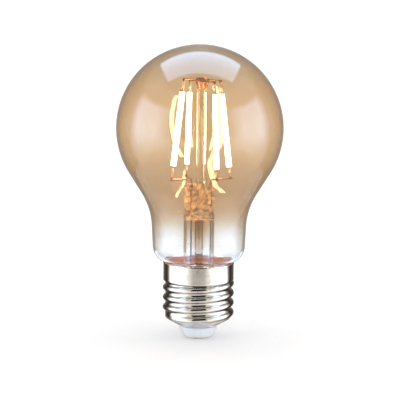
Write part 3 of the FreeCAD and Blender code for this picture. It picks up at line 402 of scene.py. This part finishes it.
def make_materials():
    """Every finish of the lamp, by the record's slot name."""
    return {
        "amber_glass": amber_glass(),
        "stem_glass": stem_glass(),
        "bead_glass": bead_glass(),
        "nickel_plate": nickel_plate(),
        "phosphor": phosphor(),
        # drawn nickel, dulled by the heat of sealing
        "nickel_wire": grained("drawn nickel wire, heat dulled", ["#9A6A42", "#CF9C68"],
                               (0.30, 0.45), 1.0, 0.4, 0.02),
        # copper-clad wire, borated dark red
        "copper_wire": grained("copper clad wire, borated", ["#8A3A20", "#C8683C", "#E08A58"],
                               (0.28, 0.5), 1.0, 0.5, 0.03),
        # copper lead, browned by the flame of the press
        "lead_wire": grained("oxidised copper lead", ["#4A2A18", "#7A4A2C"],
                             (0.35, 0.55), 1.0, 0.4, 0.02),
        # small molten beads of weld, darkened
        "weld_metal": grained("weld bead, oxidised", ["#4A3A2C", "#8A735A"],
                              (0.35, 0.6), 1.0, 0.3, 0.05),
        # flat pins of plated iron
        "filament_pin": grained("plated iron strip", ["#C79A5A", "#EBCB92"],
                                (0.3, 0.45), 1.0, 0.5, 0.02, stretch=(1, 1, 0.2)),
        # fired alumina, white and slightly gritty
        "filament_ceramic": grained("fired alumina strip", ["#E4DCC8", "#F2ECDC"],
                                    (0.5, 0.7), 0.0, 0.3, 0.02, IOR=1.76),
        # sapphire chips under the silicone
        "led_chip": grained("sapphire chip", ["#5C78A8", "#8AA2C8"],
                            (0.12, 0.2), 0.0, 0.4, 0.005, IOR=1.77),
        # baked resin and marble flour, brown from the oven, a little rough, and with a faint painted
        # orange glow that stands in for the light that the strips throw down on it
        "cap_cement": grained("baked cap cement", ["#7A3808", "#C06C18", "#F0A040"],
                              (0.35, 0.6), 0.0, 0.8, 0.10,
                              **{"Specular IOR Level": 0.15, "Emission Color": linear("#FF8A00"),
                                 "Emission Strength": 0.32}),
        # moulded white plastic with a soft sheen
        "white_plastic": grained("moulded urea resin, white", ["#E9E8EF", "#F4F3F9"],
                                 (0.30, 0.42), 0.0, 0.6, 0.012,
                                 **{"Subsurface Weight": 0.15}),
        # pressed brass, bright from the die
        "contact_brass": grained("pressed brass, tin flashed", ["#B9A476", "#D9CBA4"],
                                 (0.22, 0.36), 1.0, 0.5, 0.02),
        # thin moulded cup, natural polyester
        "sleeve_plastic": grained("moulded polyester cup", ["#D9D8D2", "#E8E7E2"],
                                  (0.4, 0.55), 0.0, 0.8, 0.01),
        # glass laminate under green mask, the weave just showing
        "board_green": grained("glass laminate, green mask", ["#0E4A28", "#1B6A3C"],
                               (0.28, 0.42), 0.0, 0.5, 0.02),
        "board_black": grained("glass laminate, black mask", ["#0B0D10", "#1B1E22"],
                               (0.3, 0.45), 0.0, 0.5, 0.02),
        # tin solder, bright and wetted
        "solder": grained("tin solder, wetted", ["#A9AAA8", "#D4D5D3"],
                          (0.2, 0.38), 1.0, 0.5, 0.03),
        "shield_metal": grained("tinned steel sheet", ["#B4B5B4", "#D3D4D2"],
                                (0.25, 0.4), 1.0, 0.5, 0.01, stretch=(1, 1, 0.2)),
        "chip_black": grained("moulded epoxy, black", ["#141416", "#242427"],
                              (0.5, 0.65), 0.0, 0.2, 0.01),
        "tin_leg": grained("tinned copper leg", ["#A8A8A4", "#CFCFCB"],
                           (0.25, 0.4), 1.0, 0.4, 0.01),
        "can_aluminium": grained("drawn aluminium can", ["#AEB2B8", "#CDD0D5"],
                                 (0.22, 0.34), 1.0, 0.5, 0.01, stretch=(1, 1, 0.1)),
        "ferrite": grained("sintered ferrite", ["#1B1B1D", "#2F2F32"],
                           (0.45, 0.65), 0.0, 0.3, 0.02),
        "enamel_copper": grained("enamelled copper winding", ["#7C3414", "#B85C2A"],
                                 (0.2, 0.34), 1.0, 0.5, 0.06, stretch=(0.1, 1, 0.1)),
        "film_yellow": grained("dipped epoxy, yellow", ["#C79318", "#E0B030"],
                               (0.3, 0.45), 0.0, 0.6, 0.03),
        "resistor_body": grained("cement coated resistor", ["#6E8E78", "#8EAC96"],
                                 (0.4, 0.6), 0.0, 0.5, 0.04),
        "gold_pin": grained("gold plated pin", ["#C8962E", "#E8C060"],
                            (0.18, 0.3), 1.0, 0.4, 0.01, stretch=(1, 1, 0.2)),
    }


def dress_nodes(finishes):
    """Gives every carried-over piece the finish of its slot."""
    slots = {row["node"]: row["material_slot"] for row in frame["record"]["subparts"]}
    for name, item in frame["nodes"].items():
        for place in item.material_slots:
            place.material = finishes[slots[name]]


# ------------------------------------------------------------------ glass

def bulb_outline():
    """Outer outline of the bulb from the seal up to the crown."""
    hub = ((HEAD_RADIUS + NECK_SWEEP) * math.cos(FLANK_ANGLE) - FLANK_LENGTH * math.sin(FLANK_ANGLE),
           HEAD_CENTRE - (HEAD_RADIUS + NECK_SWEEP) * math.sin(FLANK_ANGLE)
           - FLANK_LENGTH * math.cos(FLANK_ANGLE))
    neck_top = (hub[0] - NECK_SWEEP * math.cos(NECK_TAPER),
                hub[1] + NECK_SWEEP * math.sin(NECK_TAPER))
    neck_low = (neck_top[0] - (neck_top[1] - SHOULDER_Z) * math.tan(NECK_TAPER), SHOULDER_Z)
    pivot = (neck_low[0] - SHOULDER_RADIUS * math.cos(NECK_TAPER),
             neck_low[1] + SHOULDER_RADIUS * math.sin(NECK_TAPER))
    entry = -math.degrees(math.acos((SEAL_RADIUS + SEAL_STEP - pivot[0]) / SHOULDER_RADIUS))
    points = [(SEAL_RADIUS, SEAL_Z), (SEAL_RADIUS, 25.4), (SEAL_RADIUS, 27.2),
              (SEAL_RADIUS + 0.12, 27.7)]
    points += arc(pivot, SHOULDER_RADIUS, entry, -math.degrees(NECK_TAPER), 14)
    for index in range(1, 5):
        part = index / 5
        points.append((neck_low[0] + (neck_top[0] - neck_low[0]) * part,
                       neck_low[1] + (neck_top[1] - neck_low[1]) * part))
    points += arc(hub, NECK_SWEEP, 180 - math.degrees(NECK_TAPER),
                  180 - math.degrees(FLANK_ANGLE), 14)
    flank_low = points[-1]
    head_low = (HEAD_RADIUS * math.cos(FLANK_ANGLE),
                HEAD_CENTRE - HEAD_RADIUS * math.sin(FLANK_ANGLE))
    for index in range(1, 6):
        part = index / 6
        points.append((flank_low[0] + (head_low[0] - flank_low[0]) * part,
                       flank_low[1] + (head_low[1] - flank_low[1]) * part))
    points += arc((0, HEAD_CENTRE), HEAD_RADIUS, -math.degrees(FLANK_ANGLE), 89.7, 60)
    return points


def build_bulb(finishes):
    """The bulb: outline turned up, crown closed, wall thickened inwards."""
    piece = turn_up(bulb_outline(), steps=144, closed=False)
    bpy.ops.object.mode_set(mode="EDIT")
    bpy.ops.mesh.select_all(action="DESELECT")
    bpy.ops.object.mode_set(mode="OBJECT")
    crown = max(v.co.z for v in piece.data.vertices)
    for vertex in piece.data.vertices:
        vertex.select = vertex.co.z > crown - 1e-6
    bpy.ops.object.mode_set(mode="EDIT")
    bpy.ops.mesh.merge(type="CENTER")
    bpy.ops.mesh.select_all(action="SELECT")
    bpy.ops.mesh.normals_make_consistent(inside=False)
    bpy.ops.object.mode_set(mode="OBJECT")
    wall = piece.modifiers.new("wall", "SOLIDIFY")
    wall.thickness = GLASS_WALL * MM
    wall.offset = -1
    wall.use_even_offset = True
    apply_all(piece)
    finish_piece("bulb_glass", finishes, ["glass_envelope"], "amber_glass", 60)


def build_stem(finishes):
    """Stem: bore and foot of the flare, tube, and the press pinched flat above it, lumpy where the
    hot glass was squeezed."""
    inner = FLARE_RADIUS - FLARE_WALL
    edge = SEAL_RADIUS - GLASS_WALL - SEAL_GAP
    reach = edge - FLARE_RADIUS
    sweep = (reach ** 2 + FLARE_RISE ** 2) / (2 * reach)
    neck_z = FLARE_FOOT + FLARE_SEAL + FLARE_RISE
    hub = (FLARE_RADIUS + sweep, neck_z)
    turn = math.degrees(math.asin(FLARE_RISE / sweep))
    under = math.degrees(math.asin((FLARE_RISE + FLARE_SEAL) / (sweep + FLARE_WALL)))
    outline = [(0.02, 45.1), (2.4, 45.0), (3.9, 44.6), (4.5, 43.9), (inner, 43.0), (inner, 36.0)]
    outline += arc(hub, sweep + FLARE_WALL, 180, 180 + under, 12)
    outline += [(edge, FLARE_FOOT)]
    outline += list(reversed(arc(hub, sweep, 180, 180 + turn, 12)))
    outline += [(FLARE_RADIUS, 34.0), (FLARE_RADIUS, 39.0), (FLARE_RADIUS, PRESS_FOOT)]
    for step in range(PRESS_RINGS):
        part = (step + 1) / PRESS_RINGS
        squeeze = min(part / PRESS_BLEND, 1.0)
        squeeze = squeeze * squeeze * (3 - 2 * squeeze)
        outline.append((FLARE_RADIUS + 0.1 * math.sin(math.pi * part),
                        FLARE_RADIUS - PRESS_PINCH * squeeze, PRESS_FOOT + PRESS_RISE * part))
    outline += [(5.3, 1.8, 56.2), (4.9, 1.5, 56.8), (4.2, 0.9, 57.15), (0.02, 0.02, PRESS_TOP)]
    piece = turn_up(outline, steps=112)
    press = piece.vertex_groups.new(name="press")
    for vertex in piece.data.vertices:
        height = vertex.co.z / MM
        share = min(max((height - 45.4) / 1.5, 0), 1) * min(max((56.9 - height) / 0.8, 0), 1)
        press.add([vertex.index], share, "REPLACE")
    lumps = bpy.data.textures.new("press_lumps", "CLOUDS")
    lumps.noise_scale = LUMP_SIZE * MM
    lumps.noise_depth = 2
    push = piece.modifiers.new("lumps", "DISPLACE")
    push.texture = lumps
    push.texture_coords = "LOCAL"
    push.vertex_group = "press"
    push.strength = LUMP_DEPTH * MM
    push.mid_level = LUMP_LEVEL
    apply_all(piece)
    finish_piece("stem_press", finishes, ["stem_flare"], "stem_glass", 60)


def build_pillar(finishes):
    """Glass rod and its bead, and the pumping tube inside the stem."""
    aside = Matrix.Translation((MOUNT_X * MM, 0, 0))
    rod = [(0.02, 57.22), (1.2, 57.24), (2.2, 57.36), (2.0, 58.0), (1.85, 58.8), (1.8, 60.0)]
    rod += [(1.8, 61 + 4 * index) for index in range(8)]
    rod += [(1.8, 91.0), (1.8, 91.58), (0.02, 91.59)]
    turn_up(rod, steps=64).data.transform(aside)
    finish_piece("pillar_glass", finishes, ["pillar_rod"], "stem_glass", 50)
    bead = [(0.02, 91.6), (1.7, 91.6), (1.8, 91.8), (1.95, 92.6), (2.25, 93.4), (2.5, 94.0),
            (2.6, 94.5), (2.5, 95.15), (2.2, 95.5), (1.6, 95.66), (0.02, 95.7)]
    turn_up(bead, steps=48).data.transform(aside)
    finish_piece("bead_glass_top", finishes, ["pillar_bead"], "bead_glass", 60)
    tube = [(0.02, 22.9), (0.6, 23.05), (1.0, 23.9), (1.0, 34.0), (1.0, 45.08), (1.5, 45.08),
            (1.5, 34.0), (1.5, 23.0), (1.38, 22.0), (1.0, 21.3), (0.5, 20.95), (0.02, 20.9)]
    turn_up(tube, steps=40)
    finish_piece("pumping_tube", finishes, ["exhaust_tube"], "stem_glass", 50)


# ------------------------------------------------------------------ filaments

def strip_ends(index):
    """Centres of the two ends of a filament's strip."""
    mesh = frame["nodes"]["filament_%d_strip" % index].data
    heights = sorted(mesh.vertices, key=lambda vertex: vertex.co.z)
    half = len(heights) // 2
    low = sum((v.co for v in heights[:half]), Vector()) / half
    high = sum((v.co for v in heights[-half:]), Vector()) / half
    return low, high


def build_filaments(finishes):
    """Four coatings: round-nosed, a little flattened, slightly uneven along their length. Each
    point keeps its distance from the nearer end, which sets where the coating glows."""
    for index in range(1, 5):
        low, high = strip_ends(index)
        first = STRIP_OVERLAP
        last = (high - low).length / MM - STRIP_OVERLAP
        length = last - first - 2 * COATING_NOSE
        outline = [(0.02, first - 0.05), (0.55, first), (0.85, first + 0.25),
                   (0.97, first + COATING_NOSE)]
        for step in range(1, COATING_RINGS):
            swell = 1.0 + 0.02 * math.sin(step * 2.1 + index)
            outline.append((swell, first + COATING_NOSE + length * step / COATING_RINGS))
        outline += [(0.97, last - COATING_NOSE), (0.85, last - 0.25), (0.55, last),
                    (0.02, last + 0.05)]
        outline = [(r, COATING_FLAT * r, z) for r, z in outline]
        piece = turn_up(outline, steps=28)
        from_end = piece.data.attributes.new("from_end", "FLOAT", "POINT")
        for vertex in piece.data.vertices:
            height = vertex.co.z / MM
            from_end.data[vertex.index].value = min(height - first, last - height)
        turn = Vector((0, 0, 1)).rotation_difference(high - low).to_matrix().to_4x4()
        spin = Matrix.Rotation(math.radians(COATING_TURN + 90 * (index - 1)), 4, "Z")
        piece.data.transform(Matrix.Translation(low) @ turn @ spin)
        finish_piece("filament_glow_%d" % index, finishes, ["filament_%d_coating" % index],
                     "phosphor", 50)


# ------------------------------------------------------------------ cap

def thread_rise(turns, height):
    """Height of the rolled ridge above its root at one place on the shell."""
    offset = (height - THREAD_FIRST) / THREAD_PITCH - turns
    crest = round(offset)
    along = crest + turns
    fade = (min(max((along - THREAD_START) / THREAD_FADE, 0), 1)
            * min(max((THREAD_END - along) / THREAD_FADE, 0), 1))
    fade = fade * fade * (3 - 2 * fade)
    gap = abs(offset - crest) * THREAD_PITCH
    quarter = THREAD_PITCH / 4
    depth = (THREAD_CREST - THREAD_ROOT) / 2
    radius = (quarter ** 2 + depth ** 2) / (2 * depth)
    if gap < quarter:
        rise = 2 * depth - (radius - math.sqrt(radius ** 2 - gap ** 2))
    else:
        rise = radius - math.sqrt(radius ** 2 - (2 * quarter - gap) ** 2)
    return rise * fade


def build_shell(finishes):
    """The shell: cone, threaded barrel and plain skirt turned up, then the ridge rolled into it and
    the sheet given its thickness."""
    outline = [(6.75, 4.32), (6.95, 4.36), (8.6, 5.27), (10.3, 6.22), (11.3, 6.8), (11.75, 7.12),
               (12.0, 7.4), (12.12, 7.7)]
    height = BARREL_FOOT
    while height < BARREL_TOP:
        outline.append((THREAD_ROOT, height))
        height += RING_STEP
    outline += [(12.2, 20.62), (12.4, 20.8), (12.66, 21.02), (12.86, 21.25), (12.94, 21.5),
                (12.95, 22.0), (12.95, 24.0), (12.95, 26.8), (13.0, 27.4), (13.04, 27.66),
                (13.0, 27.78), (12.92, 27.8)]
    piece = turn_up(outline, steps=168, closed=False)
    for vertex in piece.data.vertices:
        radius = math.hypot(vertex.co.x, vertex.co.y)
        turns = math.atan2(vertex.co.y, vertex.co.x) / (2 * math.pi)
        rise = thread_rise(turns, vertex.co.z / MM)
        wanted = max(radius, min(radius, THREAD_ROOT * MM) + rise * MM)
        vertex.co.x *= wanted / radius
        vertex.co.y *= wanted / radius
    wall = piece.modifiers.new("sheet", "SOLIDIFY")
    wall.thickness = SHELL_WALL * MM
    wall.offset = -1
    apply_all(piece)
    finish_piece("shell_threaded", finishes, ["screw_shell"], "nickel_plate", 50)


def build_base(finishes):
    """Cement ring with its inward shelf, plastic plug and contact plate."""
    cement = [(11.92, 23.45), (9.5, 23.4), (6.4, 23.3), (6.22, 23.1), (6.4, 22.92), (9.5, 22.91),
              (12.57, 22.95), (12.57, 24.5), (12.57, 27.1), (12.5, 27.4), (12.3, 27.54),
              (12.0, 27.5), (11.92, 27.2), (11.92, 23.45)]
    turn_up(cement, steps=96, closed=False)
    join_ends()
    finish_piece("cement_ring", finishes, ["base_cement"], "cap_cement", 60)
    plug = [(1.31, 0.4), (4.65, 0.4), (5.2, 0.5), (5.65, 0.8), (5.92, 1.25), (6.02, 1.65),
            (6.4, 2.4), (6.9, 3.45), (7.02, 3.8), (7.0, 4.15), (6.9, 4.3), (6.47, 4.3), (6.47, 4.7),
            (9.5, 6.4), (9.5, 7.1), (9.1, 7.5), (0.62, 7.5), (0.62, 3.9), (1.31, 3.9),
            (1.31, 0.4)]
    turn_up(plug, steps=96, closed=False)
    join_ends()
    finish_piece("plug_white", finishes, ["insulator"], "white_plastic", 35)
    plate = [(0.02, 0.0), (3.0, 0.0), (3.3, 0.02), (3.9, 0.06), (4.3, 0.12), (4.52, 0.2),
             (4.6, 0.28), (4.6, 0.35), (4.56, 0.39), (1.3, 0.4), (1.3, 3.6), (0.3, 3.6), (0.3, 0.9),
             (0.02, 0.9)]
    turn_up(plate, steps=72)
    finish_piece("contact_plate", finishes, ["centre_contact"], "contact_brass", 30)


# ------------------------------------------------------------------ studio

def build_floor():
    """A white round table top. Its back edge is in view, white against the white room."""
    start_piece()
    bpy.ops.mesh.primitive_circle_add(vertices=96, radius=FLOOR_RADIUS * MM, fill_type="NGON",
                                      location=(0, 0, -FLOOR_DROP * MM))
    floor = bpy.context.object
    floor.name = "floor"
    floor.data.materials.append(grained("painted board, matt white", ["#F6F6F6", "#FAFAFA"],
                                        (0.8, 0.9), 0.0, 2.0, 0.005))
    # what the lamp mirrors below it is the room's own table top
    floor.visible_glossy = False


def build_room():
    """The room: an even white, and for reflections two tall side lights and one overhead light, a
    black gap in front, a pale table top below eye level and a dim warm end behind each side."""
    world = bpy.data.worlds.new("studio")
    bpy.context.scene.world = world
    world.use_nodes = True
    world.cycles.sampling_method = "NONE"
    tree = world.node_tree
    tree.nodes.clear()
    ray = add(tree, "ShaderNodeLightPath")
    way = add(tree, "ShaderNodeTexCoord").outputs["Generated"]
    axes = add(tree, "ShaderNodeSeparateXYZ", {"Vector": way}).outputs
    side = add(tree, "ShaderNodeMath", {0: axes["X"]}, operation="ABSOLUTE").outputs["Value"]
    ahead = add(tree, "ShaderNodeMath", {0: axes["Y"], 1: -1.0},
                operation="MULTIPLY").outputs["Value"]
    angle = add(tree, "ShaderNodeMath", {0: side, 1: ahead}, operation="ARCTAN2").outputs["Value"]
    around = add(tree, "ShaderNodeMath", {0: angle, 1: 1 / math.pi},
                 operation="MULTIPLY").outputs["Value"]
    # rows of (direction, from 0 in front to 1 behind; brightness; warmth, 1 for neutral)
    bands = {
        "wall": ((0, 0.004, 1), (0.135, 0.004, 1), (0.15, 0.85, 1), (0.55, 0.9, 1),
                 (0.64, 0.7, 0.95), (0.70, 0.46, 0.82), (0.94, 0.46, 0.82), (1.0, 0.6, 0.9)),
        "table": ((0, 0.58, 1), (0.10, 0.62, 1), (0.16, 1.0, 1), (0.22, 1.5, 1), (0.28, 1.6, 1),
                  (0.58, 1.4, 1), (0.66, 0.46, 0.85), (0.94, 0.42, 0.85), (1.0, 0.5, 0.9)),
        "below": ((0, 0.85, 1), (0.11, 0.9, 1), (0.25, 1.2, 1), (0.50, 1.2, 1), (0.62, 1.0, 1),
                  (1.0, 0.8, 1))}
    band = {name: add(tree, "ShaderNodeValToRGB", {"Fac": around}, stops=[
        (place, (level, level * warm, level * warm * warm, 1)) for place, level, warm in rows]
        ).outputs["Color"] for name, rows in bands.items()}
    up = add(tree, "ShaderNodeMath", {0: axes["Z"], 1: 0.001}, operation="MAXIMUM").outputs["Value"]
    sideways = add(tree, "ShaderNodeMath", {0: side, 1: up}, operation="DIVIDE").outputs["Value"]
    backward = add(tree, "ShaderNodeMath", {0: axes["Y"], 1: up},
                   operation="DIVIDE").outputs["Value"]
    # soft edges: each goes from 0 to 1 between its two values
    edge = {name: add(tree, "ShaderNodeMapRange", {
        "Value": value, "From Min": start, "From Max": stop}).outputs["Result"]
        for name, value, start, stop in (
            ("table line", axes["Z"], -0.165, -0.145), ("under table", axes["Z"], -0.50, -0.62),
            ("ceiling", axes["Z"], 0.74, 0.82),
            ("overhead width", sideways, 0.72, 0.66), ("overhead near", backward, -0.10, -0.03),
            ("overhead far", backward, 1.1, 0.9),
            ("side front", around, 0.22, 0.36), ("side back", around, 0.62, 0.53),
            ("side foot", axes["Z"], -0.44, -0.10), ("side top", axes["Z"], 0.52, 0.42))}
    lights = []
    for parts in (("overhead near", "overhead far", "overhead width"),
                  ("side front", "side back", "side foot", "side top")):
        shape = edge[parts[0]]
        for part in parts[1:]:
            shape = add(tree, "ShaderNodeMath", {0: shape, 1: edge[part]},
                        operation="MULTIPLY").outputs["Value"]
        lights.append(shape)
    boxes = add(tree, "ShaderNodeMath", {0: lights[0], 1: lights[1]},
                operation="MAXIMUM").outputs["Value"]
    lit = band["table"]
    for factor, other in ((edge["table line"], band["wall"]), (edge["under table"], band["below"]),
                          (edge["ceiling"], CEILING), (boxes, LIGHT_BOX)):
        lit = add(tree, "ShaderNodeMix", {"Factor": factor, "A": lit, "B": other},
                  data_type="RGBA").outputs[2]
    through = add(tree, "ShaderNodeMath", {0: ray.outputs["Transmission Depth"], 1: 0.5},
                  operation="GREATER_THAN").outputs["Value"]
    plain = add(tree, "ShaderNodeMix", {"Factor": through, "A": ROOM_WHITE, "B": SEEN_WHITE},
                data_type="RGBA").outputs[2]
    mirrored = add(tree, "ShaderNodeMath", {0: ray.outputs["Glossy Depth"], 1: 0.5},
                   operation="GREATER_THAN").outputs["Value"]
    seen = add(tree, "ShaderNodeMix", {"Factor": mirrored, "A": plain, "B": lit},
               data_type="RGBA").outputs[2]
    glow = add(tree, "ShaderNodeBackground", {"Color": seen, "Strength": 1.0})
    add(tree, "ShaderNodeOutputWorld", {"Surface": glow.outputs["Background"]})


def build_camera():
    """Camera a little above the lamp, rolled half a degree."""
    scene = bpy.context.scene
    data = bpy.data.cameras.new("camera")
    camera = bpy.data.objects.new("camera", data)
    scene.collection.objects.link(camera)
    sight = CAMERA_TARGET - CAMERA_PLACE
    look = sight.to_track_quat("-Z", "Y").to_matrix().to_4x4()
    roll = Matrix.Rotation(CAMERA_ROLL, 4, "Z")
    camera.matrix_world = Matrix.Translation(CAMERA_PLACE) @ look @ roll
    data.sensor_width = SENSOR
    data.lens = SENSOR * sight.length / VIEW_SIZE
    data.clip_end = 10.0
    scene.camera = camera
    scene.view_settings.view_transform = "Standard"
    scene.view_settings.look = "None"


# ------------------------------------------------------------------ the lamp

finishes = make_materials()
dress_nodes(finishes)
build_bulb(finishes)
build_stem(finishes)
build_pillar(finishes)
build_filaments(finishes)
build_shell(finishes)
build_base(finishes)
build_floor()
build_room()
build_camera()
